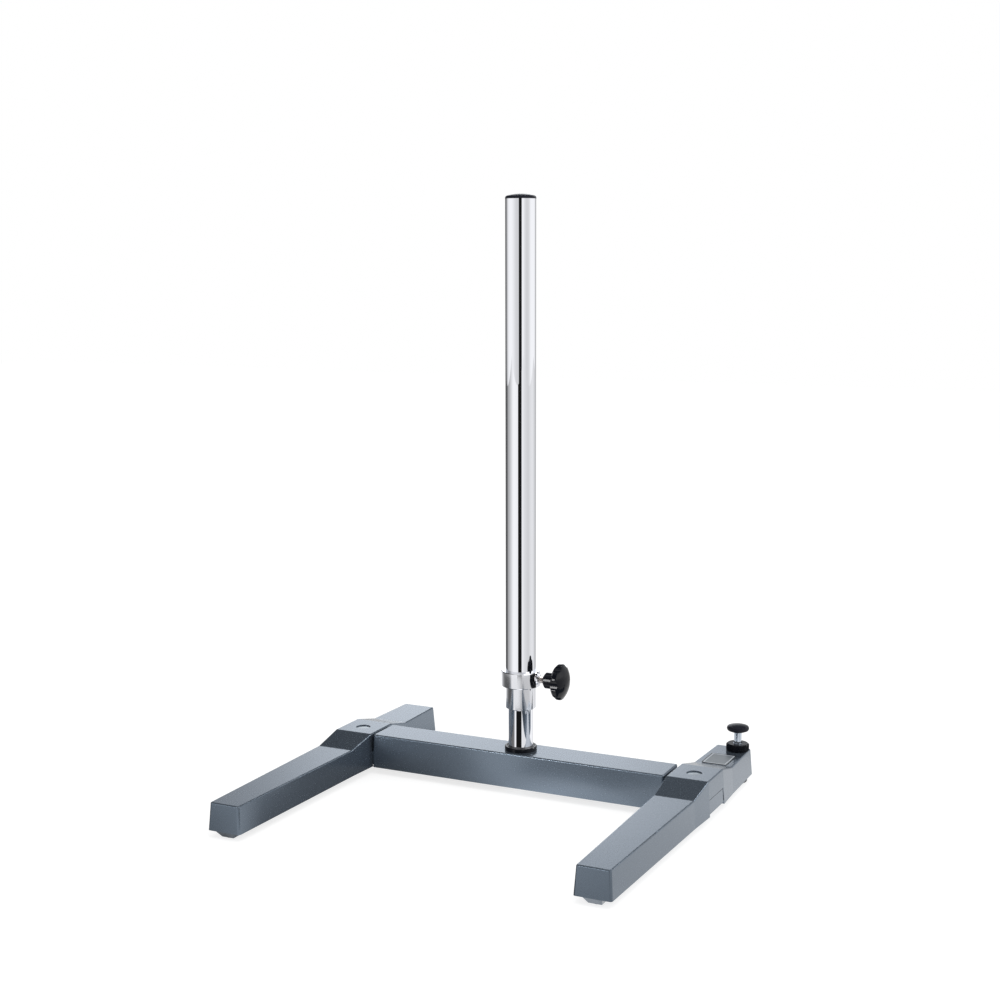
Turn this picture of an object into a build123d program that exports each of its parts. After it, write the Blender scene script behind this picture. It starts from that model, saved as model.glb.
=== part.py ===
from build123d import *
import os
from math import cos, pi, radians, sin, sqrt, tan

# A telescopic laboratory stand: an H-shaped cast base, a chromed column of two tubes that slide in
# each other, a clamp collar with a star grip, and one levelling screw at the right rear.
# Millimetres, +Z up, +X to the right along the crossbar, front at -Y.
# The origin is on the table, under the centre of the base.

# Base: plan sizes
base_depth = 428.0
column_reach = 286.0          # front ends of the legs to the column's axis
leg_spacing = 414.0           # between the centre lines of the legs
leg_front_width = 35.5        # widths across the top of a leg
leg_ramp_width = 44.7
hump_width = 47.8
leg_rear_width = 40.4
hump_front = 22.6             # from the column's axis to the ends of the hump and of its ramps
hump_rear = 26.4
ramp_front = 64.0
ramp_rear = 63.7
bar_width = 46.2              # across the top of the crossbar
bar_gap = 3.0                 # between the crossbar's end and the hump's side, at the top

# Base: heights and the casting's walls
foot_height = 8.0
leg_top = 37.9
hump_top = 46.6
draft_angle = 3.8             # degrees, on all upright sides
casting_wall = 6.0
end_block = 24.0              # solid nose above each cast foot
corner_radius = 2.5
rim_radius = 1.5
ramp_foot_radius = 8.0
ramp_head_radius = 5.0
rib_thickness = 5.0
rib_height = 18.0
bar_rib_places = (72.0, 128.0)    # from the column's axis
leg_rib_places = (75.0, 145.0)    # from the front end of a leg

# Joint between leg and crossbar
tongue_height = 15.2
tongue_lift = 2.6             # of the tongue's underside above the castings' lower edge
tongue_width = 46.0
tongue_clearance = 0.3
tongue_relief = 0.5           # above the tongue, outside the boss that rests on it
tongue_slit = 2.2             # extra width at the foot of the slot's rear end
tongue_setback = 0.3          # of the tongue's end behind the hump's side
tongue_root = 14.0            # length of the tongue inside the crossbar
leg_boss_radius = 13.0
bolt_radius = 5.0             # M10
bolt_head_radius = 8.0
bolt_head_height = 10.0
bolt_key_radius = 4.6
bolt_key_depth = 5.0
bolt_grip = 11.0              # length of thread in the tongue
washer_thickness = 2.0
washer_radius = 8.3
counterbore_radius = 8.5
cap_thickness = 2.5
cap_recess = 0.6
cap_space = 0.5               # between a bolt's head and its cover
hole_clearance = 0.5
fit_clearance = 0.05          # radial, of shafts, tubes and threads in their holes

# Fixed feet
foot_top_width = 20.0
foot_bottom_width = 14.0
foot_bottom_depth = 12.0
foot_slope = 7.0              # how far a foot's outer face runs in towards the ground
foot_setback = 0.3
pad_radius = 5.0
pad_thickness = 3.0
pad_stand = 0.6               # how far a pad stands out of its foot

# Column
inner_radius = 14.0
inner_wall = 2.0
outer_radius = 17.0
outer_wall = 2.0
closed_height = 622.6         # with the collar down on the ring at the column's foot
shown_lift = 44.2             # of the collar above that ring, as drawn
tube_overlap = 150.0          # of the inner tube in the mast at full height
top_gap = 13.0                # between the tubes' two plugs at the closed height
socket_floor = 7.0
socket_height = 24.0          # underside of the inner tube
socket_boss_radius = 22.0
column_screw_head = 6.4
column_screw_head_radius = 8.5
column_screw_length = 30.0
column_screw_pocket = 13.0
column_washer_radius = 10.0
anchor_length = 34.0
base_ring_height = 4.5
base_ring_radius = 18.2
base_ring_groove = 0.8
base_ring_edge = 0.7

# Clamp collar
ring_radius = 22.0
ring_height = 17.7
neck_length = 25.6
neck_chamfer = 0.6
collar_edge = 0.8
collar_shoulder = 4.0
seat_radius = 16.5            # of the mast's foot, turned down to sit in the collar
shoulder_gap = 0.3
lower_bush_radius = 15.5
snap_ring_height = 1.2
snap_ring_depth = 0.7
snap_ring_lift = 1.8
snap_ring_inner = 14.6
snap_ring_opening = 6.0
axial_play = 0.1

# Mast
cap_height = 5.3
cap_flange = 2.8
cap_round = 2.6
cap_plug_length = 15.0
cap_plug_wall = 2.0
upper_bush_length = 25.0
upper_neck_radius = 13.0
upper_plug_flange = 3.0
upper_plug_length = 15.0
stop_gap = 0.2

# Clamp screw, M8, along +X: its distances are from the column's axis
clamp_lift = 8.9              # above the underside of the ring
stud_radius = 4.0
stud_chamfer = 0.5
insert_radius = 6.0
insert_stand = 1.5
insert_edge = 0.5
shoe_radius = 3.2
shoe_end = 18.0
shoe_pin_radius = 1.5
shoe_pin_length = 2.0
clamp_hole_radius = 4.5
grip_start = 30.2
grip_back = 42.8
grip_rim = 50.8
grip_apex = 57.8
grip_radius = 20.2
grip_edge = 2.5
grip_round = 1.5
grip_hub_radius = 9.0
grip_hub_chamfer = 1.5
grip_back_radius = 12.0       # where the flat back starts to slope
grip_back_slope = 1.0
grip_lobes = 6
scallop_radius = 8.0
scallop_depth = 2.8
scallop_round = 2.5
stud_in_grip = 12.0

# Levelling screw, M10
level_offset = 7.8            # of its axis, outwards from the leg's centre line
level_inset = 13.1            # of its axis, forwards from the leg's rear end
level_radius = 5.0
level_boss_radius = 10.5
nut_radius = 13.1
nut_height = 8.4
nut_chamfer = 1.2
head_lift = 12.8              # of the head above the lock nut
head_radius = 12.7
head_height = 9.0
head_neck_radius = 6.0
head_rim_low = 2.2
head_rim_high = 7.2
head_shoulder = 1.2
head_socket = 4.0
level_foot_radius = 12.0
level_foot_neck = 8.0
level_foot_rim = 3.0
level_foot_height = 6.8
journal_radius = 3.5
journal_length = 4.2

# Places worked out from the sizes above
column_y = column_reach - base_depth / 2
front_y = -base_depth / 2
rear_y = base_depth / 2
leg_x = leg_spacing / 2
level_x = leg_x + level_offset
level_y = rear_y - level_inset
slope = tan(radians(draft_angle))
bar_end = leg_x - hump_width / 2 - bar_gap
tongue_bottom = foot_height + tongue_lift
tongue_top = tongue_bottom + tongue_height
bolt_seat = hump_top - cap_recess - cap_thickness - cap_space - bolt_head_height - washer_thickness
base_ring_top = hump_top + base_ring_height
collar_bottom = base_ring_top + shown_lift
shown_height = closed_height + shown_lift
ring_bottom = collar_bottom + neck_length
ring_top = ring_bottom + ring_height
tube_seat = ring_bottom + collar_shoulder
clamp_z = ring_bottom + clamp_lift
mast_rim = shown_height - cap_height
inner_bore = inner_radius - inner_wall
outer_bore = outer_radius - outer_wall
inner_top = closed_height - cap_height - cap_plug_length - top_gap
travel_up = inner_top - tube_overlap - collar_bottom
inner_rim = inner_top - upper_plug_flange
upper_bush_bottom = inner_rim - upper_bush_length
stop_top = upper_bush_bottom - stop_gap - travel_up
snap_ring_bottom = collar_bottom + snap_ring_lift
snap_ring_top = snap_ring_bottom + snap_ring_height
nut_top = leg_top + nut_height
head_bottom = nut_top + head_lift

column = Pos(0, column_y, 0)
clamp_axis = Plane(origin=(0, column_y, clamp_z), x_dir=(0, 1, 0), z_dir=(1, 0, 0)).location
level_axis = Pos(level_x, level_y, 0)


def polygon(points):
    """A face with straight edges through the points."""
    return make_face(Polyline(*points, close=True))


def turned(profile):
    """A solid turned about Z from a face drawn as (radius, height)."""
    return revolve(Plane.XZ * profile, axis=Axis.Z)


def rod(radius, low, high):
    """A round bar on Z between two heights."""
    return Pos(0, 0, low) * extrude(Circle(radius), high - low)


def tube(outer, inner, low, high):
    """A pipe on Z between two heights."""
    return rod(outer, low, high) - rod(inner, low - 1, high + 1)


def dome_arc(radius, rim, apex):
    """The arc of a dome's section, from its rim to its apex on the axis."""
    rise = apex - rim
    sphere = (radius**2 + rise**2) / (2 * rise)
    middle = radius / 2
    return ThreePointArc(
        (radius, rim), (middle, apex - sphere + sqrt(sphere**2 - middle**2)), (0, apex)
    )


def block(low, high):
    """A box between two corners."""
    size = [b - a for a, b in zip(low, high)]
    centre = [(a + b) / 2 for a, b in zip(low, high)]
    return Pos(*centre) * Box(*size)


def rim_edges(part):
    """Edges between the upward faces and the upright sides of a casting."""
    up = [f for f in part.faces() if f.normal_at().Z > 0.5]
    sides = [f for f in part.faces() if abs(f.normal_at().Z) < 0.2]
    side_edges = [e for f in sides for e in f.edges()]
    return [e for f in up for e in f.edges() if any(e.is_same(s) for s in side_edges)]


def corner_edges(part, level):
    """The nearly upright edges of a casting that cross a level."""
    picked = []
    for edge in part.edges():
        box = edge.bounding_box()
        if box.min.Z < level < box.max.Z and box.size.Z > 2 * max(box.size.X, box.size.Y):
            picked.append(edge)
    return picked


def leg_outline(height, inset):
    """The leg's plan at a height, about its own centre line, its sides moved in by inset."""
    spread = (leg_top - height) * slope - inset
    crown = hump_width + 2 * (hump_top - leg_top) * slope
    over = corner_radius + casting_wall
    front_run = column_reach - ramp_front
    rear_run = base_depth - column_reach - ramp_rear
    front_width = leg_front_width - over * (leg_ramp_width - leg_front_width) / front_run
    rear_width = leg_rear_width - over * (leg_ramp_width - leg_rear_width) / rear_run
    stations = (
        (front_y - over, front_width),
        (column_y - ramp_front, leg_ramp_width),
        (column_y - hump_front, crown),
        (column_y + hump_rear, crown),
        (column_y + ramp_rear, leg_ramp_width),
        (rear_y + over, rear_width),
    )
    right = [(width / 2 + spread, y) for y, width in stations]
    left = [(-x, y) for x, y in reversed(right)]
    return Plane.XY.offset(height) * polygon(right + left)


def leg_side(low, end_inset, drop):
    """The leg seen from the side, as a slab across it, its ends moved in and its top lowered."""
    arm, hump = leg_top - drop, hump_top - drop
    low_in = (low - foot_height) * slope + end_inset
    arm_in = (arm - foot_height) * slope + end_inset
    ramp_feet = [(column_y - ramp_front, arm), (column_y + ramp_rear, arm)]
    ramp_heads = [(column_y - hump_front, hump), (column_y + hump_rear, hump)]
    face = polygon([
        (front_y + low_in, low),
        (front_y + arm_in, arm),
        ramp_feet[0],
        ramp_heads[0],
        ramp_heads[1],
        ramp_feet[1],
        (rear_y - arm_in, arm),
        (rear_y - low_in, low),
    ])
    for places, radius in ((ramp_feet, ramp_foot_radius), (ramp_heads, ramp_head_radius)):
        corners = [v for v in face.vertices() if (round(v.X, 3), round(v.Y, 3)) in
                   [(round(y, 3), round(z, 3)) for y, z in places]]
        face = fillet(corners, radius)
    return extrude(Plane.YZ * face, hump_width, both=True)


def leg_blank(low, inset, end_inset, drop):
    """The drafted form of a leg, whole or as the hollow under it."""
    body = loft([leg_outline(low, inset), leg_outline(hump_top, inset)], ruled=True)
    return body & leg_side(low, end_inset, drop)


def tongue_slot():
    """The cut across a leg for the crossbar's tongue, with a wedge-shaped slit at its rear."""
    half = tongue_width / 2 + tongue_clearance
    low = foot_height - 1
    face = polygon([
        (column_y - half, low),
        (column_y - half, tongue_top + tongue_relief),
        (column_y + half, tongue_top + tongue_relief),
        (column_y + half + tongue_slit, low),
    ])
    return extrude(Plane.YZ * face, hump_width, both=True)


def cast_foot(end):
    """A tapered four-sided foot under a leg's end; end is -1 at the front and 1 at the rear."""
    top_y = end * (base_depth / 2 - foot_setback - foot_top_width / 2)
    low_y = end * (base_depth / 2 - foot_setback - foot_slope - foot_bottom_depth / 2)
    top = Pos(0, top_y, foot_height) * Rectangle(foot_top_width, foot_top_width)
    low = Pos(0, low_y, pad_stand) * Rectangle(foot_bottom_width, foot_bottom_depth)
    foot = loft([low, top], ruled=True)
    return foot - Pos(0, low_y, 0) * rod(pad_radius + fit_clearance, 0, pad_thickness)


def foot_pad(side, end):
    """The anti-slip disc set in the underside of a cast foot."""
    low_y = end * (base_depth / 2 - foot_setback - foot_slope - foot_bottom_depth / 2)
    return Pos(side * leg_x, low_y, 0) * rod(pad_radius, 0, pad_thickness)


def leg(side):
    """One leg casting; side is -1 for the left and 1 for the right, which takes the level screw."""
    form = leg_blank(foot_height, 0, 0, 0)
    form = fillet(corner_edges(form, leg_top - 2 * rim_radius), corner_radius)
    form = fillet(rim_edges(form), rim_radius)
    hollow = leg_blank(foot_height - 1, casting_wall, end_block, casting_wall)
    body = form - hollow

    half = hump_width / 2
    for place in leg_rib_places:
        rib_y = front_y + place
        rib_top = leg_top - casting_wall + 1
        rib = block(
            (-half, rib_y - rib_thickness / 2, rib_top - 1 - rib_height),
            (half, rib_y + rib_thickness / 2, rib_top),
        )
        body += rib & form
    if side > 0:
        boss = Pos(level_x - leg_x, level_y, 0) * rod(level_boss_radius, foot_height, leg_top)
        body += boss & form
        body -= Pos(level_x - leg_x, level_y, 0) * rod(level_radius + fit_clearance, 0, hump_top)
    else:
        body += cast_foot(1)
    body += cast_foot(-1)

    body -= tongue_slot()
    bolt_axis = Pos(0, column_y, 0)
    body += bolt_axis * rod(leg_boss_radius, tongue_top, hump_top - casting_wall + 1)
    body -= bolt_axis * rod(counterbore_radius, bolt_seat, hump_top + 1)
    body -= bolt_axis * rod(bolt_radius + hole_clearance, 0, hump_top)
    return Pos(side * leg_x, 0, 0) * body


def bar_form(low, inset):
    """The crossbar's drafted form, whole or as the hollow under it."""
    sections = []
    for height in (low, hump_top - inset):
        width = bar_width + 2 * (hump_top - height) * slope - 2 * inset
        sections.append(Pos(0, column_y, height) * Rectangle(2 * (bar_end - inset), width))
    return loft(sections, ruled=True)


def crossbar_tongue(side):
    """The tongue under one leg, its end flush with the drafted side of the hump."""
    flank = leg_x + hump_width / 2 - tongue_setback
    near = bar_end - tongue_root
    profile = polygon([
        (side * near, tongue_bottom),
        (side * near, tongue_top),
        (side * (flank + (hump_top - tongue_top) * slope), tongue_top),
        (side * (flank + (hump_top - tongue_bottom) * slope), tongue_bottom),
    ])
    return Pos(0, column_y, 0) * extrude(Plane.XZ * profile, tongue_width / 2, both=True)


def crossbar():
    """The casting that joins the legs and holds the column."""
    form = bar_form(foot_height, 0)
    form = fillet(corner_edges(form, leg_top), corner_radius)
    form = fillet(rim_edges(form), rim_radius)
    body = form - bar_form(foot_height - 1, casting_wall)
    body += (column * rod(socket_boss_radius, foot_height, hump_top)) & form
    half = bar_width / 2 + casting_wall
    rib_top = hump_top - casting_wall + 1
    for place in bar_rib_places:
        for x in (-place, place):
            rib = block(
                (x - rib_thickness / 2, column_y - half, rib_top - 1 - rib_height),
                (x + rib_thickness / 2, column_y + half, rib_top),
            )
            body += rib & form
    for side in (-1, 1):
        body += crossbar_tongue(side)
        thread = rod(bolt_radius + fit_clearance, tongue_top - bolt_grip - 1, tongue_top + 1)
        body -= Pos(side * leg_x, column_y, 0) * thread
    body -= column * rod(inner_radius + fit_clearance, socket_height, hump_top + 1)
    body -= column * rod(bolt_radius + hole_clearance, foot_height, hump_top)
    body -= column * rod(column_screw_pocket, foot_height - 1, socket_height - socket_floor)
    return body


def socket_screw(head_radius_, head_height_, seat, tip):
    """A socket-head screw on Z, its head above the seat and its shank down to the tip."""
    head = rod(head_radius_, seat, seat + head_height_)
    head = chamfer(head.edges().sort_by(Axis.Z)[-1], cap_recess)
    key = extrude(RegularPolygon(bolt_key_radius, 6), bolt_key_depth)
    return head + rod(bolt_radius, tip, seat) - Pos(0, 0, seat + head_height_ - bolt_key_depth) * key


def on_both_legs(shape):
    """Two copies of a shape, over the bolts of the left and the right leg."""
    return [Pos(side * leg_x, column_y, 0) * shape for side in (-1, 1)]


def leg_bolts():
    """The two bolts that draw the legs down on the crossbar's tongues."""
    seat = bolt_seat + washer_thickness
    return Compound(on_both_legs(
        socket_screw(bolt_head_radius, bolt_head_height, seat, tongue_top - bolt_grip)
    ))


def leg_bolt_washers():
    """The washers under the leg bolts."""
    washer = tube(washer_radius, bolt_radius + hole_clearance, bolt_seat, bolt_seat + washer_thickness)
    return Compound(on_both_legs(washer))


def bolt_cap():
    """The round cover pressed in over a leg bolt."""
    top = hump_top - cap_recess
    cap = rod(counterbore_radius - fit_clearance, top - cap_thickness, top)
    return chamfer(cap.edges().sort_by(Axis.Z)[-1], cap_recess / 2)


def inner_tube():
    """The fixed tube of the column, with a turned neck at its top for the glide bush."""
    body = tube(inner_radius, inner_bore, socket_height, inner_rim)
    return body - tube(inner_radius + 1, upper_neck_radius, upper_bush_bottom, inner_rim + 1)


def column_anchor():
    """The threaded plug fixed in the lower end of the inner tube."""
    return tube(
        inner_bore - fit_clearance, bolt_radius + fit_clearance, socket_height,
        socket_height + anchor_length,
    )


def column_screw():
    """The hexagon screw that pulls the column down into its socket."""
    head_top = socket_height - socket_floor - washer_thickness
    head = extrude(RegularPolygon(column_screw_head_radius, 6), column_screw_head)
    return Pos(0, 0, head_top - column_screw_head) * head + rod(
        bolt_radius, head_top, head_top + column_screw_length
    )


def column_washer():
    """The washer under the head of the column's screw."""
    top = socket_height - socket_floor
    return tube(column_washer_radius, bolt_radius + hole_clearance, top - washer_thickness, top)


def base_ring():
    """The ring that closes the joint between column and crossbar, grooved near the tube."""
    inner = inner_radius + fit_clearance
    lip = inner + base_ring_groove
    groove = lip + base_ring_groove
    edge = base_ring_edge
    return turned(polygon([
        (inner, hump_top),
        (base_ring_radius, hump_top),
        (base_ring_radius, base_ring_top - edge),
        (base_ring_radius - edge, base_ring_top),
        (groove, base_ring_top),
        (groove, base_ring_top - base_ring_groove),
        (lip, base_ring_top - base_ring_groove),
        (lip, base_ring_top),
        (inner, base_ring_top),
    ]))


def upper_glide_bush():
    """The bush on the neck of the inner tube that guides the mast's bore."""
    return tube(
        outer_bore - fit_clearance, upper_neck_radius + fit_clearance, upper_bush_bottom, inner_rim
    )


def inner_tube_plug():
    """The plug that closes the inner tube and keeps its glide bush on."""
    flange = rod(inner_radius, inner_rim, inner_top)
    flange = chamfer(flange.edges().sort_by(Axis.Z)[-1], neck_chamfer)
    return flange + rod(inner_bore - fit_clearance, inner_rim - upper_plug_length, inner_rim)


def lower_glide_bush():
    """The bush in the collar's neck that runs on the inner tube."""
    return tube(
        lower_bush_radius - fit_clearance, inner_radius + fit_clearance,
        snap_ring_top + axial_play, ring_bottom - axial_play,
    )


def snap_ring():
    """The open spring ring that keeps the lower glide bush in the collar."""
    outer = lower_bush_radius + snap_ring_depth - fit_clearance
    ring = tube(outer, snap_ring_inner, snap_ring_bottom, snap_ring_top)
    half = snap_ring_opening / 2
    return ring - block((-half, 0, snap_ring_bottom - 1), (half, outer + 1, snap_ring_top + 1))


def clamp_collar():
    """The turned collar at the lower end of the mast: neck, ring and seat for the outer tube."""
    edge = collar_edge
    body = turned(polygon([
        (lower_bush_radius, collar_bottom),
        (outer_radius - neck_chamfer, collar_bottom),
        (outer_radius, collar_bottom + neck_chamfer),
        (outer_radius, ring_bottom),
        (ring_radius - edge, ring_bottom),
        (ring_radius, ring_bottom + edge),
        (ring_radius, ring_top - edge),
        (ring_radius - edge, ring_top),
        (seat_radius + fit_clearance, ring_top),
        (seat_radius + fit_clearance, tube_seat),
        (inner_radius + shoulder_gap, tube_seat),
        (inner_radius + shoulder_gap, ring_bottom),
        (lower_bush_radius, ring_bottom),
    ]))
    groove = lower_bush_radius + snap_ring_depth
    body -= tube(groove, inner_radius, snap_ring_bottom, snap_ring_top)
    hole = rod(insert_radius + fit_clearance, seat_radius - 1, ring_radius + 1)
    return column * body - clamp_axis * hole


def outer_tube():
    """The sliding tube of the column; its foot is turned down and drilled for the clamp's shoe."""
    body = tube(outer_radius, outer_bore, ring_top, mast_rim)
    body += tube(seat_radius, outer_bore, tube_seat, ring_top)
    return column * body - clamp_axis * rod(clamp_hole_radius, inner_bore, ring_radius)


def stop_sleeve():
    """The thin sleeve in the foot of the mast that meets the upper bush at full height."""
    sleeve = tube(outer_bore - fit_clearance, inner_radius + shoulder_gap, tube_seat, stop_top)
    return column * sleeve - clamp_axis * rod(clamp_hole_radius, inner_bore, ring_radius)


def end_cap():
    """The domed plug in the top of the mast."""
    shoulder = mast_rim + cap_flange
    plug = outer_bore - fit_clearance
    core = plug - cap_plug_wall
    outline = Polyline(
        (outer_radius, shoulder), (outer_radius, mast_rim), (plug, mast_rim),
        (plug, mast_rim - cap_plug_length), (core, mast_rim - cap_plug_length),
        (core, mast_rim), (0, mast_rim), (0, shown_height),
    )
    profile = make_face([outline, dome_arc(outer_radius, shoulder, shown_height)])
    corner = [v for v in profile.vertices() if v.X > plug and v.Y > mast_rim + cap_flange / 2]
    return turned(fillet(corner, cap_round))


def clamp_insert():
    """The threaded bush in the collar's ring, with its rim standing out."""
    far = ring_radius + insert_stand
    bush = rod(insert_radius, seat_radius + fit_clearance, far)
    bush = chamfer(bush.edges().sort_by(Axis.Z)[-1], insert_edge)
    return bush - rod(stud_radius + fit_clearance, 0, far + 1)


def clamp_shoe():
    """The pressure piece on the tip of the clamp screw, hollowed to the inner tube."""
    body = rod(shoe_radius, inner_bore, shoe_end)
    body += rod(shoe_pin_radius, shoe_end, shoe_end + shoe_pin_length)
    return clamp_axis * body - column * rod(inner_radius + fit_clearance, 0, shown_height)


def clamp_stud():
    """The threaded stud of the star grip, bored at its tip for the shoe's pin."""
    start = shoe_end + fit_clearance
    body = rod(stud_radius, start, grip_start + stud_in_grip)
    body = chamfer(body.edges().sort_by(Axis.Z)[0], stud_chamfer)
    return body - rod(shoe_pin_radius + fit_clearance, 0, start + shoe_pin_length + fit_clearance)


def star_grip():
    """The star grip: a hub, a lobed body and a domed face."""
    back_edge = grip_back + grip_back_slope
    outline = Polyline(
        (0, grip_apex), (0, grip_start), (grip_hub_radius - grip_hub_chamfer, grip_start),
        (grip_hub_radius, grip_start + grip_hub_chamfer), (grip_hub_radius, grip_back),
        (grip_back_radius, grip_back), (grip_radius - grip_edge, back_edge),
        (grip_radius, back_edge + grip_edge), (grip_radius, grip_rim),
    )
    profile = make_face([outline, dome_arc(grip_radius, grip_rim, grip_apex)])
    edges = [v for v in profile.vertices() if v.X > grip_back_radius + 1]
    body = turned(fillet(edges, grip_round))
    star = Circle(grip_radius)
    for lobe in range(grip_lobes):
        turn = 2 * pi * (lobe + 0.5) / grip_lobes
        reach = grip_radius + scallop_radius - scallop_depth
        star -= Pos(reach * sin(turn), reach * cos(turn)) * Circle(scallop_radius)
    star = fillet(star.vertices(), scallop_round)
    body = body & (Pos(0, 0, grip_start - 1) * extrude(star, grip_apex - grip_start + 2))
    return body - rod(stud_radius + fit_clearance, 0, grip_start + stud_in_grip + fit_clearance)


def level_foot():
    """The foot under the levelling screw, which swivels on the screw's journal."""
    body = turned(polygon([
        (0, 0), (level_foot_radius, 0), (level_foot_radius, level_foot_rim),
        (level_foot_neck, level_foot_height), (0, level_foot_height),
    ]))
    socket = level_foot_height - journal_length - fit_clearance
    return body - rod(journal_radius + fit_clearance, socket, level_foot_height + 1)


def level_spindle():
    """The levelling screw's spindle, with its journal in the foot."""
    journal = rod(journal_radius, level_foot_height - journal_length, level_foot_height)
    top = head_bottom + head_socket
    return journal + rod(level_radius, level_foot_height + axial_play, top) + rod(
        journal_radius, level_foot_height, level_foot_height + axial_play
    )


def level_head():
    """The mushroom head of the levelling screw."""
    side = head_radius - head_shoulder
    low, high = head_bottom + head_rim_low, head_bottom + head_rim_high
    top = head_bottom + head_height
    outline = Polyline((0, top), (0, head_bottom), (head_neck_radius, head_bottom), (side, low))
    rim = ThreePointArc((side, low), (head_radius, (low + high) / 2), (side, high))
    body = turned(make_face([outline, rim, dome_arc(side, high, top)]))
    return body - rod(level_radius + fit_clearance, 0, head_bottom + head_socket + fit_clearance)


def lock_nut():
    """The round nut that locks the levelling screw on the arm."""
    nut = chamfer(rod(nut_radius, leg_top, nut_top).edges().sort_by(Axis.Z)[-1], nut_chamfer)
    return nut - rod(level_radius + fit_clearance, 0, nut_top + 1)


cap = bolt_cap()
parts = {
    "crossbar": crossbar(),
    "left_leg": leg(-1),
    "right_leg": leg(1),
    "leg_bolts": leg_bolts(),
    "leg_bolt_washers": leg_bolt_washers(),
    "left_bolt_cap": Pos(-leg_x, column_y, 0) * cap,
    "right_bolt_cap": Pos(leg_x, column_y, 0) * cap,
    "front_left_foot_pad": foot_pad(-1, -1),
    "front_right_foot_pad": foot_pad(1, -1),
    "rear_left_foot_pad": foot_pad(-1, 1),
    "inner_tube": column * inner_tube(),
    "column_anchor": column * column_anchor(),
    "column_screw": column * column_screw(),
    "column_washer": column * column_washer(),
    "base_ring": column * base_ring(),
    "upper_glide_bush": column * upper_glide_bush(),
    "inner_tube_plug": column * inner_tube_plug(),
    "lower_glide_bush": column * lower_glide_bush(),
    "bush_snap_ring": column * snap_ring(),
    "clamp_collar": clamp_collar(),
    "outer_tube": outer_tube(),
    "stop_sleeve": stop_sleeve(),
    "end_cap": column * end_cap(),
    "clamp_insert": clamp_axis * clamp_insert(),
    "clamp_shoe": clamp_shoe(),
    "clamp_stud": clamp_axis * clamp_stud(),
    "star_grip": clamp_axis * star_grip(),
    "level_foot": level_axis * level_foot(),
    "level_spindle": level_axis * level_spindle(),
    "level_head": level_axis * level_head(),
    "lock_nut": level_axis * lock_nut(),
}

os.makedirs("parts", exist_ok=True)
for name, shape in parts.items():
    export_step(shape, f"parts/{name}.step")
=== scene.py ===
import math

import bpy
from bpy.props import FloatProperty, FloatVectorProperty, IntProperty, PointerProperty
from mathutils import Matrix, Vector


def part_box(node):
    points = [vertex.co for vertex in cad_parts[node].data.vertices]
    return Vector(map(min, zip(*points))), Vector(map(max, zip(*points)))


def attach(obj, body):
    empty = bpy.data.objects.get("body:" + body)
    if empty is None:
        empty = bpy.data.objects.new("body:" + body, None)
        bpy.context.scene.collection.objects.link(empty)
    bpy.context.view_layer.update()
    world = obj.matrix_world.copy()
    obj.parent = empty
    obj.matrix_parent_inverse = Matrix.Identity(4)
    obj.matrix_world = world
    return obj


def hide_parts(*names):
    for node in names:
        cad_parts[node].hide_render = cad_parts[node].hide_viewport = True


bl_info = {
    "name": "Telescopic laboratory stand",
    "version": (1, 0, 0),
    "blender": (4, 5, 0),
    "location": "3D View > Sidebar > Stand",
    "description": "Finishes, threads, knurl and arm plate of a laboratory stand, and its studio",
    "category": "Object",
}

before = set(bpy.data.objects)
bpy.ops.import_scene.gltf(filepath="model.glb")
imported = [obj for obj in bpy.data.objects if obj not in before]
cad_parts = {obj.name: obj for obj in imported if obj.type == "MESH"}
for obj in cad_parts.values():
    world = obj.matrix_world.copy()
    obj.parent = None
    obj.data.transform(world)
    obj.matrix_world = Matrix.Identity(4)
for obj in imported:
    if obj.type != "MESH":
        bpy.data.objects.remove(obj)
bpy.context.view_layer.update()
MM = 0.001
ON_AXIS = 0.01 * MM  # inner radius of a solid turned profile, so that no face collapses
RINGS_PER_TURN = 8.0  # of the mesh of a thread
MIX_A, MIX_B = 6, 7  # the colour inputs of a Mix node
JOURNAL_RADIUS = 3.5 * MM  # lower end of the levelling spindle, in its foot


def middle(node):
    """Centre of a CAD node's box."""
    low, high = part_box(node)
    return (low + high) / 2


NUT_LOW, NUT_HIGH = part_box("lock_nut")
SPINDLE_LOW, SPINDLE_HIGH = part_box("level_spindle")
STUD_LOW, STUD_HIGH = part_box("clamp_stud")
COLUMN_AXIS = middle("outer_tube")
LEVEL_AXIS = middle("lock_nut")
CLAMP_AXIS = middle("clamp_stud")


def colour_property(name, description, default):
    """A colour that the user can pick."""
    return FloatVectorProperty(
        name=name, description=description, default=default, subtype="COLOR", size=3, min=0, max=1
    )


def length_property(name, description, default):
    """A length in metres."""
    return FloatProperty(name=name, description=description, default=default, unit="LENGTH", min=0)


def share_property(name, description, default):
    """A number from nothing to all."""
    return FloatProperty(name=name, description=description, default=default, min=0, max=1)


def power_property(name, description, default):
    """The power of a lamp in watts."""
    return FloatProperty(name=name, description=description, default=default, unit="POWER", min=0)


def angle_property(name, description, degrees):
    """An angle, with its default in degrees."""
    return FloatProperty(
        name=name, description=description, default=math.radians(degrees), subtype="ANGLE"
    )


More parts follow.
